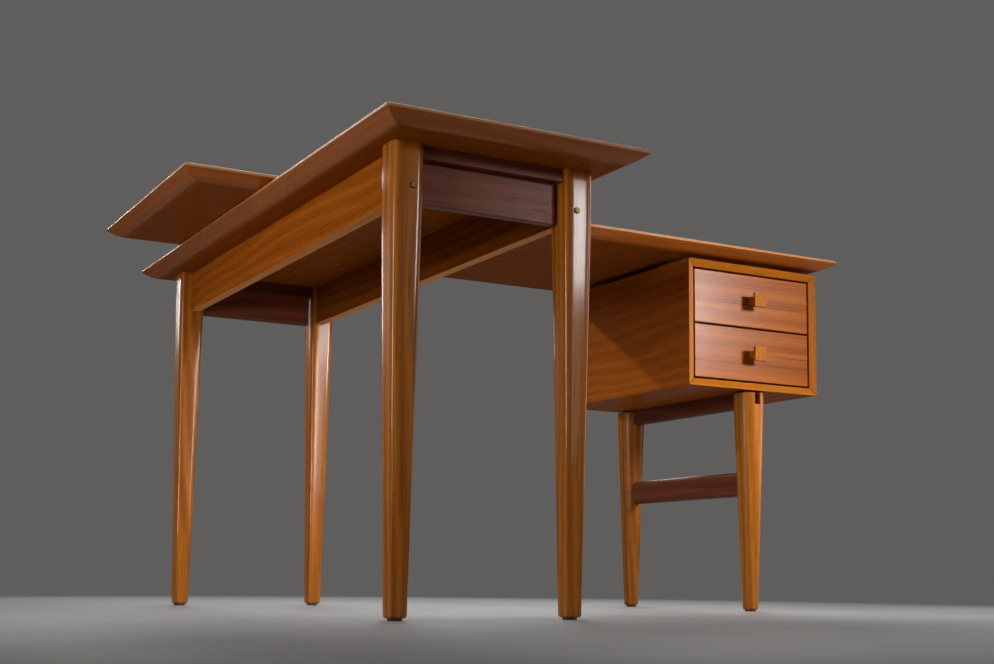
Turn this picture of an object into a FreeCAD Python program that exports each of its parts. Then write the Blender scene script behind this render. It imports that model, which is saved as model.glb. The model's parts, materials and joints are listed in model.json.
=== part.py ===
import FreeCAD, Part
import os

os.makedirs("parts", exist_ok=True)

# An L-shaped desk in teak: a four-legged return table, a higher desk top that lies across it, and a
# pedestal of two drawers that hangs under the desk top's other end on a frame of two turned legs.
# Millimetres. X runs along the desk top, Y away from the sitter, Z up from the floor, and the origin
# is on the floor below the middle of the whole desk.

# Tops
return_height = 708.0
return_length = 1260.0
return_width = 440.0
desk_length = 1397.0
desk_depth = 521.0
desk_overhang = 134.5
desk_setback = 496.0
top_thickness = 22.0
top_edge = 5.5
top_bevel = 26.0
top_easing = 4.5
top_bevel_softening = 45.0
top_corner_radius = 5.0
lipping_width = 42.0

# Frame of the return
leg_top_size = 50.0
leg_foot_size = 28.5
leg_top_radius = 7.0
leg_foot_radius = 5.0
leg_side_inset = 75.5
leg_end_inset = 109.0
foot_chamfer = 2.5
apron_height = 80.0
apron_thickness = 20.0
apron_recess = 20.5
end_rail_height = 20.0
end_rail_depth = 33.0
end_rail_recess = 9.0
end_board_height = 64.0
end_board_thickness = 18.0
end_board_gap = 5.0
end_board_easing = 1.5

# Fixings of the return
bolt_diameter = 6.0
bolt_head_diameter = 9.5
bolt_head_height = 2.6
bolt_head_easing = 1.2
bolt_past_nut = 9.0
bolt_rise = 16.0
nut_diameter = 10.0
nut_length = 14.0
nut_setback = 30.0
apron_dowel_diameter = 8.0
apron_dowel_length = 30.0
apron_dowel_rise = 40.0
apron_dowel_spacing = 24.0
rail_dowel_diameter = 6.0
rail_dowel_length = 26.0
rail_dowel_spacing = 17.0
board_dowel_diameter = 6.0
board_dowel_length = 24.0
board_dowel_inset = 60.0
rail_screw_length = 33.0
rail_screw_setback = 8.0
rail_screw_inset = 45.0
joining_screw_length = 36.0
joining_screw_side_inset = 140.0
joining_screw_end_inset = 120.0

# Screws and glides
screw_diameter = 4.0
screw_head_diameter = 8.0
screw_head_height = 3.0
slot_width = 1.2
slot_depth = 1.1
hole_clearance = 0.15
glide_diameter = 22.0
glide_height = 3.5
glide_easing = 1.5
glide_pin_diameter = 3.0
glide_pin_length = 14.0

# Case of the pedestal
case_width = 326.0
case_depth = 473.0
case_height = 253.5
case_wall = 15.0
case_front_bevel = 6.0
case_right_inset = 47.0
case_front_inset = 15.0
shadow_gap = 12.0
back_thickness = 6.0
back_inset = 8.0
back_tongue = 5.0
key_width = 9.0
key_thickness = 3.0
key_end_inset = 25.0
spacer_width = 45.0
spacer_side_inset = 25.0
spacer_end_inset = 90.0
spacer_screw_inset = 40.0
spacer_screw_length = 42.0

# Drawers
drawer_gap = 3.5
drawer_front_recess = 6.5
drawer_front_thickness = 18.0
drawer_back_gap = 32.0
drawer_side_thickness = 10.0
drawer_side_gap = 3.0
drawer_side_lap = 9.0
drawer_side_lift = 4.0
drawer_side_drop = 12.0
drawer_back_thickness = 10.0
drawer_back_drop = 6.0
drawer_back_housing = 4.0
drawer_bottom_thickness = 5.0
drawer_bottom_lift = 7.0
drawer_bottom_tongue = 4.0
runner_groove_height = 9.0
runner_groove_depth = 5.0
runner_clearance = 0.3
runner_back_gap = 6.0
runner_screw_length = 17.0
runner_screw_inset = 50.0
runner_screw_diameter = 3.0
runner_screw_head_diameter = 6.0
runner_screw_head_height = 2.0

# Pulls of the drawers
pull_face = 29.0
pull_neck = 15.0
pull_base = 17.0
pull_reach = 27.0
pull_face_thickness = 6.0
pull_easing = 1.0
pull_screw_depth = 15.0

# Frame under the pedestal
turned_top_diameter = 60.0
turned_foot_diameter = 31.0
turned_front_inset = 29.0
turned_rear_inset = 22.5
turned_offset = 6.5
turned_head_height = 23.0
turned_head_drop = 4.0
bridge_thickness = 22.0
bridge_height = 32.0
bridge_tongue_thickness = 13.5
bridge_tongue_setback = 14.0
bridge_screw_length = 38.0
bridge_screw_inset = 60.0
stretcher_middle_height = 255.5
stretcher_height = 51.0
stretcher_thickness = 20.0
stretcher_rounding = 9.9
stretcher_tenon_gap = 7.0

# Places worked out from the sizes
V = FreeCAD.Vector
RIGHT = V(1, 0, 0)
AWAY = V(0, 1, 0)
UP = V(0, 0, 1)

desk_x0 = -desk_length / 2
desk_x1 = desk_length / 2
return_x0 = desk_x0 + desk_overhang
return_x1 = return_x0 + return_width
return_y0 = -return_length / 2
return_y1 = return_length / 2
desk_y0 = return_y0 + desk_setback
desk_y1 = desk_y0 + desk_depth
frame_top = return_height - top_thickness
desk_underside = return_height

leg_left = return_x0 + leg_side_inset
leg_right = return_x1 - leg_side_inset
leg_near = return_y0 + leg_end_inset
leg_far = return_y1 - leg_end_inset
leg_half = leg_top_size / 2
apron_bottom = frame_top - apron_height
bolt_z = apron_bottom + bolt_rise
rail_bottom = frame_top - end_rail_height

case_x1 = desk_x1 - case_right_inset
case_x0 = case_x1 - case_width
case_y0 = desk_y0 + case_front_inset
case_y1 = case_y0 + case_depth
case_z1 = desk_underside - shadow_gap
case_z0 = case_z1 - case_height
case_middle = (case_x0 + case_x1) / 2
inner_x0 = case_x0 + case_wall
inner_x1 = case_x1 - case_wall
inner_z0 = case_z0 + case_wall
inner_z1 = case_z1 - case_wall
back_y1 = case_y1 - back_inset
back_y0 = back_y1 - back_thickness

drawer_front_height = (inner_z1 - inner_z0 - 3 * drawer_gap) / 2
drawer_front_y0 = case_y0 + drawer_front_recess
drawer_front_y1 = drawer_front_y0 + drawer_front_thickness
drawer_end = back_y0 - drawer_back_gap
turned_x = case_middle + turned_offset
turned_top = case_z0 - turned_head_drop
turned_shoulder = turned_top - turned_head_height
turned_front = case_y0 + turned_front_inset
turned_rear = case_y1 - turned_rear_inset


def block(x0, x1, y0, y1, z0, z1):
    """A square-edged block between two corners."""
    return Part.makeBox(x1 - x0, y1 - y0, z1 - z0, V(x0, y0, z0))


def prism(points, push):
    """The closed polygon through the points, pushed along a vector."""
    return Part.Face(Part.makePolygon(points + points[:1])).extrude(push)


def frustum(first, second):
    """The solid between two closed polygons with as many points each."""
    wires = [Part.makePolygon(points + points[:1]) for points in (first, second)]
    return Part.makeLoft(wires, True, True)


def rod(middle, direction, length, diameter, grow=0.0):
    """A round rod about its middle point; grow turns it into the hole that takes it."""
    whole = length + 2 * grow
    return Part.makeCylinder(diameter / 2 + grow, whole, middle - direction * (whole / 2), direction)


def aimed(shape, seat, direction):
    """Moves a shape that was made along Z from the origin to its seat, pointing along a direction."""
    shape.Placement = FreeCAD.Placement(seat, FreeCAD.Rotation(UP, direction))
    return shape


def slotted(shape, across, floor):
    """Cuts a screwdriver slot into a head that faces -Z at a given floor height of the slot."""
    return shape.cut(block(-across, across, -slot_width / 2, slot_width / 2, floor - across, floor))


def screw(seat, direction, length, sizes):
    """A slotted countersunk screw with its head flush at the seat."""
    diameter, head_diameter, head_height = sizes
    head = Part.makeCone(head_diameter / 2, diameter / 2, head_height)
    shank = Part.makeCylinder(diameter / 2, length)
    return aimed(slotted(head.fuse(shank), head_diameter, slot_depth), seat, direction)


def screw_hole(seat, direction, length, sizes):
    """The hole with its countersink for a screw."""
    diameter, head_diameter, head_height = sizes
    wide = head_diameter / 2 + hole_clearance
    narrow = diameter / 2 + hole_clearance
    sink = Part.makeCone(wide, narrow, head_height)
    return aimed(sink.fuse(Part.makeCylinder(narrow, length + hole_clearance)), seat, direction)


def without(shape, tools):
    """The shape less every tool, as one solid."""
    for tool in tools:
        shape = shape.cut(tool)
    return shape.removeSplitter().Solids[0]


def save(name, *solids):
    """Writes one named piece, or a group of like pieces."""
    shape = solids[0] if len(solids) == 1 else Part.makeCompound(list(solids))
    shape.exportStep("parts/" + name + ".step")


WOOD_SCREW = (screw_diameter, screw_head_diameter, screw_head_height)
SMALL_SCREW = (runner_screw_diameter, runner_screw_head_diameter, runner_screw_head_height)


def rectangle(x0, x1, y0, y1, z):
    return [V(x0, y0, z), V(x1, y0, z), V(x1, y1, z), V(x0, y1, z)]


def mitred(whole, outer, inner, push):
    """Cuts a border into four pieces that meet at mitres, in the order of the outline's sides."""
    pieces = []
    for k in range(4):
        n = (k + 1) % 4
        zone = prism([outer[k], outer[n], inner[n], inner[k]], push)
        pieces.append(whole.common(zone).Solids[0])
    return pieces


def bevelled_top(x0, x1, y0, y1, z0):
    """A top with an eased upper edge and a wide bevel under all four sides, as a panel and its lippings."""
    z1 = z0 + top_thickness
    edge_z = z1 - top_edge
    low = rectangle(x0 + top_bevel, x1 - top_bevel, y0 + top_bevel, y1 - top_bevel, z0)
    whole = frustum(low, rectangle(x0, x1, y0, y1, edge_z)).fuse(block(x0, x1, y0, y1, edge_z, z1))
    plate = block(x0, x1, y0, y1, z0, z1)
    corners = [e for e in plate.Edges if abs(e.tangentAt(e.FirstParameter).z) > 0.5]
    whole = whole.common(plate.makeFillet(top_corner_radius, corners))
    upper_edges = [e for e in whole.Edges if all(abs(v.Z - z1) < top_easing for v in e.Vertexes)]
    whole = whole.makeFillet(top_easing, upper_edges)
    low_edges = [e for e in whole.Edges if all(abs(v.Z - z0) < top_easing for v in e.Vertexes)]
    whole = whole.makeFillet(top_bevel_softening, low_edges)
    w = lipping_width
    outer = rectangle(x0, x1, y0, y1, z0)
    inner = rectangle(x0 + w, x1 - w, y0 + w, y1 - w, z0)
    panel = block(x0 + w, x1 - w, y0 + w, y1 - w, z0, z1)
    return panel, mitred(whole, outer, inner, UP * top_thickness)


def rounded_square(x, y, z, size, radius):
    """A square wire with round corners about a point."""
    half = size / 2
    flat = half - radius
    bulge = flat + radius * 0.5 ** 0.5
    edges = []
    for sx, sy in ((1, 1), (-1, 1), (-1, -1), (1, -1)):
        ends = [V(x + sx * half, y + sy * flat, z), V(x + sx * flat, y + sy * half, z)]
        if sx * sy < 0:
            ends.reverse()
        edges.append(Part.Arc(ends[0], V(x + sx * bulge, y + sy * bulge, z), ends[1]).toShape())
    sides = []
    for k in range(4):
        n = (k + 1) % 4
        sides.append(Part.LineSegment(edges[k].lastVertex().Point, edges[n].firstVertex().Point).toShape())
    ring = [edge for pair in zip(edges, sides) for edge in pair]
    return Part.Wire(ring)


def return_leg(x, y):
    """A square leg with round corners: straight beside the apron, tapered below, chamfered at the foot."""
    foot = leg_foot_size
    sections = [
        rounded_square(x, y, glide_height, foot - 2 * foot_chamfer, leg_foot_radius - foot_chamfer),
        rounded_square(x, y, glide_height + foot_chamfer, foot, leg_foot_radius),
        rounded_square(x, y, apron_bottom, leg_top_size, leg_top_radius),
        rounded_square(x, y, frame_top, leg_top_size, leg_top_radius),
    ]
    return Part.makeLoft(sections, True, True)


def leg_bolt(seat, direction, length):
    """A slotted round-headed bolt; its head stands on the seat and its shank goes on from there."""
    head = Part.makeCylinder(bolt_head_diameter / 2, bolt_head_height, V(0, 0, -bolt_head_height))
    rim = [e for e in head.Edges if all(abs(v.Z + bolt_head_height) < bolt_head_easing for v in e.Vertexes)]
    head = slotted(head.makeFillet(bolt_head_easing, rim), bolt_head_diameter, slot_depth - bolt_head_height)
    shank = Part.makeCylinder(bolt_diameter / 2, length)
    return aimed(head.fuse(shank), seat, direction)


# Glides under all six feet
glides = []
glide_holes = []
feet = [V(x, y, 0) for x in (leg_left, leg_right) for y in (leg_near, leg_far)]
feet += [V(turned_x, y, 0) for y in (turned_front, turned_rear)]
for foot in feet:
    disc = Part.makeCylinder(glide_diameter / 2, glide_height, foot)
    rim = [e for e in disc.Edges if all(v.Z < glide_easing for v in e.Vertexes)]
    disc = disc.makeFillet(glide_easing, rim)
    pin_middle = foot + UP * (glide_height + glide_pin_length / 2)
    glides.append(disc.fuse(rod(pin_middle, UP, glide_pin_length, glide_pin_diameter)))
    glide_holes.append(rod(pin_middle, UP, glide_pin_length, glide_pin_diameter, hole_clearance))
save("foot_glides", *glides)

# Return table: its legs, aprons, end rails and end boards, with their bolts and dowels
apron_outset = leg_half - apron_recess - apron_thickness / 2
apron_holes = {"left": [], "right": []}
leg_bolts = []
barrel_nuts = []
apron_dowels = []
rail_dowels = []
board_dowels = []
rail_screws = []
top_holes = []

leg_sides = {"left": (leg_left, 1), "right": (leg_right, -1)}
leg_ends = {"near": (leg_near, 1), "far": (leg_far, -1)}
for end, (leg_y, inward) in leg_ends.items():
    rail_outer = leg_y - inward * (leg_half - end_rail_recess)
    rail_inner = rail_outer + inward * end_rail_depth
    rail_middle = (rail_outer + rail_inner) / 2
    board_middle = rail_inner - inward * end_board_thickness / 2
    rail_y = sorted((rail_outer, rail_inner))
    rail_holes = []
    board_holes = []

    for side, (leg_x, inner) in leg_sides.items():
        apron_x = leg_x - inner * apron_outset
        face = V(apron_x, leg_y - inward * leg_half, bolt_z)
        nut_middle = V(apron_x, leg_y + inward * (leg_half + nut_setback), bolt_z)
        bolt_length = leg_top_size + nut_setback + bolt_past_nut
        leg_bolts.append(leg_bolt(face, AWAY * inward, bolt_length))
        bolt_way = rod(face + AWAY * (inward * bolt_length / 2), AWAY, bolt_length, bolt_diameter, hole_clearance)
        nut = rod(nut_middle, RIGHT, nut_length, nut_diameter)
        barrel_nuts.append(nut.cut(bolt_way))
        nut_hole = rod(nut_middle + RIGHT * (inner * apron_thickness / 2), RIGHT,
                       apron_thickness + nut_length, nut_diameter, hole_clearance)
        apron_holes[side] += [bolt_way, nut_hole]
        leg_cuts = [bolt_way] + glide_holes
        for step in (0, 1):
            rise = apron_dowel_rise + step * apron_dowel_spacing
            joint = V(apron_x, leg_y + inward * leg_half, apron_bottom + rise)
            apron_dowels.append(rod(joint, AWAY, apron_dowel_length, apron_dowel_diameter))
            hole = rod(joint, AWAY, apron_dowel_length, apron_dowel_diameter, hole_clearance)
            leg_cuts.append(hole)
            apron_holes[side].append(hole)
        for step in (-0.5, 0.5):
            joint = V(leg_x + inner * leg_half, rail_middle + step * rail_dowel_spacing,
                      frame_top - end_rail_height / 2)
            rail_dowels.append(rod(joint, RIGHT, rail_dowel_length, rail_dowel_diameter))
            hole = rod(joint, RIGHT, rail_dowel_length, rail_dowel_diameter, hole_clearance)
            leg_cuts.append(hole)
            rail_holes.append(hole)
        save("return_leg_" + end + "_" + side, without(return_leg(leg_x, leg_y), leg_cuts))

        hanger = V(leg_x + inner * (leg_half + board_dowel_inset), board_middle, rail_bottom)
        board_dowels.append(rod(hanger, UP, board_dowel_length, board_dowel_diameter))
        hole = rod(hanger, UP, board_dowel_length, board_dowel_diameter, hole_clearance)
        rail_holes.append(hole)
        board_holes.append(hole)
        seat = V(leg_x + inner * (leg_half + rail_screw_inset), rail_outer + inward * rail_screw_setback, rail_bottom)
        rail_screws.append(screw(seat, UP, rail_screw_length, WOOD_SCREW))
        hole = screw_hole(seat, UP, rail_screw_length, WOOD_SCREW)
        rail_holes.append(hole)
        top_holes.append(hole)

    rail = block(leg_left + leg_half, leg_right - leg_half, rail_y[0], rail_y[1], rail_bottom, frame_top)
    save("return_" + end + "_rail", without(rail, rail_holes))
    board_y = sorted((rail_inner - inward * end_board_thickness, rail_inner))
    board = block(leg_left + leg_half + end_board_gap, leg_right - leg_half - end_board_gap,
                  board_y[0], board_y[1], rail_bottom - end_board_height, rail_bottom)
    long_edges = [e for e in board.Edges if abs(e.tangentAt(e.FirstParameter).x) > 0.5]
    board = board.makeChamfer(end_board_easing, long_edges)
    save("return_" + end + "_end_board", without(board, board_holes))

for side, (leg_x, inner) in leg_sides.items():
    apron_x = leg_x - inner * apron_outset
    apron = block(apron_x - apron_thickness / 2, apron_x + apron_thickness / 2,
                  leg_near + leg_half, leg_far - leg_half, apron_bottom, frame_top)
    save("return_apron_" + side, without(apron, apron_holes[side]))
save("leg_bolts", *leg_bolts)
save("barrel_nuts", *barrel_nuts)
save("apron_dowels", *apron_dowels)
save("end_rail_dowels", *rail_dowels)
save("end_board_dowels", *board_dowels)
save("return_top_screws", *rail_screws)

# Screws up through the return's top into the desk top
joining_screws = []
joining_holes = []
for x in (return_x0 + joining_screw_side_inset, return_x1 - joining_screw_side_inset):
    for y in (desk_y0 + joining_screw_end_inset, desk_y1 - joining_screw_end_inset):
        seat = V(x, y, frame_top)
        joining_screws.append(screw(seat, UP, joining_screw_length, WOOD_SCREW))
        joining_holes.append(screw_hole(seat, UP, joining_screw_length, WOOD_SCREW))
save("top_joining_screws", *joining_screws)

# Case of the pedestal
case_outline = [V(case_x0, case_y0, case_z0), V(case_x1, case_y0, case_z0),
                V(case_x1, case_y0, case_z1), V(case_x0, case_y0, case_z1)]
case_mouth = [V(inner_x0, case_y0, inner_z0), V(inner_x1, case_y0, inner_z0),
              V(inner_x1, case_y0, inner_z1), V(inner_x0, case_y0, inner_z1)]
sunk_mouth = [point + AWAY * case_front_bevel for point in case_mouth]
case = prism(case_outline, AWAY * case_depth)
case = case.cut(prism(case_mouth, AWAY * case_depth))
case = case.cut(frustum(case_outline, sunk_mouth))
walls = mitred(case, case_outline, case_mouth, AWAY * case_depth)
bottom_wall, right_wall, top_wall, left_wall = walls

back = block(inner_x0 - back_tongue, inner_x1 + back_tongue, back_y0, back_y1,
             inner_z0 - back_tongue, inner_z1 + back_tongue)
save("pedestal_back", back)

corner_keys = []
for x, out_x in ((case_x0, 1), (case_x1, -1)):
    for z, out_z in ((case_z0, 1), (case_z1, -1)):
        middle = V(x + out_x * case_wall / 2, case_y0 + key_end_inset, z + out_z * case_wall / 2)
        along = V(out_x, 0, -out_z).normalize() * (key_width / 2)
        across = V(out_x, 0, out_z).normalize() * (key_thickness / 2)
        corners = [middle + along + across, middle + along - across,
                   middle - along - across, middle - along + across]
        corner_keys.append(prism(corners, AWAY * (back_y0 - case_y0 - 2 * key_end_inset)))
save("case_corner_keys", *corner_keys)

# Spacers that hold the case below the desk top, and their screws
spacer_screws = []
spacer_holes = []
spacers = {}
spacer_places = {
    "front": case_y0 + spacer_end_inset,
    "rear": case_y1 - spacer_end_inset - spacer_width,
}
for place, y in spacer_places.items():
    spacers[place] = block(case_x0 + spacer_side_inset, case_x1 - spacer_side_inset,
                           y, y + spacer_width, case_z1, desk_underside)
    for x in (inner_x0 + spacer_screw_inset, inner_x1 - spacer_screw_inset):
        seat = V(x, y + spacer_width / 2, inner_z1)
        spacer_screws.append(screw(seat, UP, spacer_screw_length, WOOD_SCREW))
        spacer_holes.append(screw_hole(seat, UP, spacer_screw_length, WOOD_SCREW))
for place, spacer in spacers.items():
    save("pedestal_spacer_" + place, without(spacer, spacer_holes))
save("pedestal_screws", *spacer_screws)

# Screws down through the case's floor into the bridge rail of its frame
bridge_screws = []
bridge_holes = []
for y in (turned_front + bridge_screw_inset, turned_rear - bridge_screw_inset):
    seat = V(turned_x, y, inner_z0)
    bridge_screws.append(screw(seat, -UP, bridge_screw_length, WOOD_SCREW))
    bridge_holes.append(screw_hole(seat, -UP, bridge_screw_length, WOOD_SCREW))
save("pedestal_frame_screws", *bridge_screws)


def drawer_pull(x, z):
    """A square wooden pull on a waisted neck, pointing to the sitter."""
    neck_y = drawer_front_y0 - (pull_reach - pull_face_thickness) / 2
    shoulder_y = drawer_front_y0 - (pull_reach - pull_face_thickness)
    face_y = drawer_front_y0 - pull_reach
    half = pull_face / 2
    profiles = []
    for side in (RIGHT, UP):
        def at(offset, y):
            return V(x, y, z) + side * offset
        ring = [
            Part.LineSegment(at(-pull_base / 2, drawer_front_y0), at(pull_base / 2, drawer_front_y0)),
            Part.Arc(at(pull_base / 2, drawer_front_y0), at(pull_neck / 2, neck_y), at(half, shoulder_y)),
            Part.LineSegment(at(half, shoulder_y), at(half, face_y + pull_easing)),
            Part.LineSegment(at(half, face_y + pull_easing), at(half - pull_easing, face_y)),
            Part.LineSegment(at(half - pull_easing, face_y), at(pull_easing - half, face_y)),
            Part.LineSegment(at(pull_easing - half, face_y), at(-half, face_y + pull_easing)),
            Part.LineSegment(at(-half, face_y + pull_easing), at(-half, shoulder_y)),
            Part.Arc(at(-half, shoulder_y), at(-pull_neck / 2, neck_y), at(-pull_base / 2, drawer_front_y0)),
        ]
        face = Part.Face(Part.Wire([curve.toShape() for curve in ring]))
        other = UP if side == RIGHT else RIGHT
        face.translate(other * -half)
        profiles.append(face.extrude(other * pull_face))
    return profiles[0].common(profiles[1]).Solids[0]


# Drawers and their runners
runners = []
runner_screws = []
wall_holes = []
side_x0 = inner_x0 + drawer_side_gap
side_x1 = inner_x1 - drawer_side_gap
for level, drawer in enumerate(("lower_drawer", "upper_drawer")):
    front_z0 = inner_z0 + drawer_gap + level * (drawer_front_height + drawer_gap)
    front_z1 = front_z0 + drawer_front_height
    middle_z = (front_z0 + front_z1) / 2
    side_z0 = front_z0 + drawer_side_lift
    side_z1 = front_z1 - drawer_side_drop
    side_y0 = drawer_front_y1 - drawer_side_lap
    floor_z0 = side_z0 + drawer_bottom_lift
    floor_z1 = floor_z0 + drawer_bottom_thickness
    hollow_x0 = side_x0 + drawer_side_thickness
    hollow_x1 = side_x1 - drawer_side_thickness

    sides = {
        "left": block(side_x0, hollow_x0, side_y0, drawer_end, side_z0, side_z1),
        "right": block(hollow_x1, side_x1, side_y0, drawer_end, side_z0, side_z1),
    }
    drawer_back = block(hollow_x0 - drawer_back_housing, hollow_x1 + drawer_back_housing,
                        drawer_end - 2 * drawer_back_thickness, drawer_end - drawer_back_thickness,
                        floor_z1, side_z1 - drawer_back_drop)
    floor = block(hollow_x0 - drawer_bottom_tongue, hollow_x1 + drawer_bottom_tongue,
                  drawer_front_y1 - drawer_bottom_tongue, drawer_end - drawer_back_thickness, floor_z0, floor_z1)
    seat = V(case_middle, drawer_front_y1, middle_z)
    pull_screw_length = drawer_front_thickness + pull_screw_depth
    pull_hole = screw_hole(seat, -AWAY, pull_screw_length, WOOD_SCREW)
    front = block(inner_x0 + drawer_gap, inner_x1 - drawer_gap,
                  drawer_front_y0, drawer_front_y1, front_z0, front_z1)
    save(drawer + "_front", without(front, [sides["left"], sides["right"], floor, pull_hole]))
    save(drawer + "_pull", without(drawer_pull(case_middle, middle_z), [pull_hole]))
    save(drawer + "_pull_screw", screw(seat, -AWAY, pull_screw_length, WOOD_SCREW))
    save(drawer + "_back", drawer_back)
    save(drawer + "_bottom", floor)

    groove_z0 = middle_z - runner_groove_height / 2
    groove_z1 = middle_z + runner_groove_height / 2
    runner_reach = drawer_side_gap + runner_groove_depth - runner_clearance
    for side, wall_x, inner in (("left", inner_x0, 1), ("right", inner_x1, -1)):
        outer_x = wall_x + inner * drawer_side_gap
        groove_x = sorted((outer_x, outer_x + inner * runner_groove_depth))
        groove = block(groove_x[0], groove_x[1], drawer_front_y1, drawer_end, groove_z0, groove_z1)
        save(drawer + "_" + side + "_side", without(sides[side], [groove, drawer_back, floor]))
        runner_x = sorted((wall_x, wall_x + inner * runner_reach))
        runner_y0 = drawer_front_y1 + runner_clearance
        runner_y1 = back_y0 - runner_back_gap
        runner = block(runner_x[0], runner_x[1], runner_y0, runner_y1,
                       groove_z0 + runner_clearance, groove_z1 - runner_clearance)
        holes = []
        for y in (runner_y0 + runner_screw_inset, runner_y1 - runner_screw_inset):
            seat = V(wall_x + inner * runner_reach, y, middle_z)
            runner_screws.append(screw(seat, RIGHT * -inner, runner_screw_length, SMALL_SCREW))
            holes.append(screw_hole(seat, RIGHT * -inner, runner_screw_length, SMALL_SCREW))
        runners.append(without(runner, holes))
        wall_holes += holes
save("drawer_runners", *runners)
save("runner_screws", *runner_screws)
save("pedestal_bottom", without(bottom_wall, corner_keys + [back] + bridge_holes))
save("pedestal_top", without(top_wall, corner_keys + [back] + spacer_holes))
save("pedestal_left_side", without(left_wall, corner_keys + [back] + wall_holes))
save("pedestal_right_side", without(right_wall, corner_keys + [back] + wall_holes))

# Tops
return_panel, return_lippings = bevelled_top(return_x0, return_x1, return_y0, return_y1, frame_top)
desk_panel, desk_lippings = bevelled_top(desk_x0, desk_x1, desk_y0, desk_y1, desk_underside)
save("return_top_panel", without(return_panel, top_holes + joining_holes))
save("desk_top_panel", without(desk_panel, joining_holes + spacer_holes))
for name, lippings in (("return_top", return_lippings), ("desk_top", desk_lippings)):
    for side, lipping in zip(("near", "right", "far", "left"), lippings):
        save(name + "_" + side + "_lipping", lipping)


def turned_leg(y):
    """A round leg with a straight head, tapered from there to a chamfered foot."""
    foot = turned_foot_diameter / 2
    head = turned_top_diameter / 2
    points = [
        V(turned_x, y, glide_height),
        V(turned_x + foot - foot_chamfer, y, glide_height),
        V(turned_x + foot, y, glide_height + foot_chamfer),
        V(turned_x + head, y, turned_shoulder),
        V(turned_x + head, y, turned_top),
        V(turned_x, y, turned_top),
    ]
    profile = Part.Face(Part.makePolygon(points + points[:1]))
    return profile.revolve(V(turned_x, y, 0), UP, 360)


def bar(thickness, y0, y1, z0, z1):
    """A bar along the middle of the frame under the pedestal."""
    return block(turned_x - thickness / 2, turned_x + thickness / 2, y0, y1, z0, z1)


# Frame under the pedestal: two turned legs, the bridge rail with its tongues in their slots, the stretcher
front_leg = turned_leg(turned_front)
rear_leg = turned_leg(turned_rear)
head_radius = turned_top_diameter / 2
frame_y0 = turned_front - head_radius
frame_y1 = turned_rear + head_radius
slot = bar(bridge_tongue_thickness, frame_y0, frame_y1, turned_shoulder, case_z0)
tongue = bar(bridge_tongue_thickness, frame_y0 + bridge_tongue_setback, frame_y1 - bridge_tongue_setback,
             turned_shoulder, case_z0)
rail = bar(bridge_thickness, turned_front, turned_rear, case_z0 - bridge_height, case_z0)
for leg, y in ((front_leg, turned_front), (rear_leg, turned_rear)):
    above = Part.makeCylinder(head_radius, turned_head_drop, V(turned_x, y, turned_top))
    rail = rail.cut(leg).cut(above)
bridge = rail.fuse(tongue)
stretcher = bar(stretcher_thickness, turned_front + stretcher_tenon_gap, turned_rear - stretcher_tenon_gap,
                stretcher_middle_height - stretcher_height / 2, stretcher_middle_height + stretcher_height / 2)
long_edges = [e for e in stretcher.Edges if abs(e.tangentAt(e.FirstParameter).y) > 0.5]
stretcher = stretcher.makeFillet(stretcher_rounding, long_edges)

save("pedestal_front_leg", without(front_leg, [slot, stretcher] + glide_holes))
save("pedestal_rear_leg", without(rear_leg, [slot, stretcher] + glide_holes))
save("pedestal_bridge_rail", without(bridge, bridge_holes))
save("pedestal_stretcher", stretcher)
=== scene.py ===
import json
import math

import bmesh
import bpy
from bpy.props import FloatProperty, FloatVectorProperty, PointerProperty
from mathutils import Color, Matrix, Vector


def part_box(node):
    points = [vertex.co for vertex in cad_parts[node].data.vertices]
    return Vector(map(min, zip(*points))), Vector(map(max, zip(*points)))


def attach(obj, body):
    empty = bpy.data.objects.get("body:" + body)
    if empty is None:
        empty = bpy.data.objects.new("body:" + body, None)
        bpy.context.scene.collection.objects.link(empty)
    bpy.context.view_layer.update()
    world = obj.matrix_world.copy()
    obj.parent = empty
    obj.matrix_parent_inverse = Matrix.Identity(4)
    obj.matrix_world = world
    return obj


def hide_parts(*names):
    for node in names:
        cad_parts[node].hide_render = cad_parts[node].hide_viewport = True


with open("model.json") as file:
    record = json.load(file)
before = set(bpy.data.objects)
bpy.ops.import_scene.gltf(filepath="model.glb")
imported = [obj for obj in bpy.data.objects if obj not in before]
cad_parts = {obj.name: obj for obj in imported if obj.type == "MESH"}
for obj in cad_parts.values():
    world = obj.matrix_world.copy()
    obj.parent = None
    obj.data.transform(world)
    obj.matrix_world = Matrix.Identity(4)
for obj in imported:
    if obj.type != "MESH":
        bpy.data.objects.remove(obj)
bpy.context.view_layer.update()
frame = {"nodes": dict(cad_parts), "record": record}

bl_info = {
    "name": "Teak L-shaped desk",
    "version": (1, 0, 0),
    "blender": (4, 5, 0),
    "location": "View3D > Sidebar > Desk",
    "description": "Dresses an L-shaped teak desk with eased timber, fixings and a plain studio",
    "category": "Object",
}

# Size in pixels of the photograph that the camera is set for
PHOTO_WIDTH = 994
PHOTO_HEIGHT = 664

# Places closer together than this are taken as one
NEAR = 1e-6
# Faces that meet more steeply than this are shaded as a corner
SHARP_ANGLE = math.radians(40.0)
# How finely edges, profiles, the tops' corners, legs and pulls are divided
EASING_SEGMENTS = 3
PROFILE_STEPS = 5
CORNER_STEPS = 4
LEG_POINTS = 128
PULL_STEPS = 10
# How slowly a pull opens from its waist towards its face
PULL_FLARE = 2.2
# Axes along which pulls and legs are drawn out: Y and Z
PULL_AXIS = 1
LEG_AXIS = 2
# Corners of a square of half side 1
SQUARE = ((1, 1), (-1, 1), (-1, -1), (1, -1))

# How far a face's normal points up, or back for the case, where a piece's material changes; on the tops'
# thin edges it is a painted highlight, on their bevels and the aprons' undersides a lighter copy with
# painted light
FLAT_TOP = 0.95
BEVEL_SLOPE = (-0.97, -0.3)
APRON_UNDERSIDE = -0.9
CASE_MOUTH = -0.3

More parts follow.
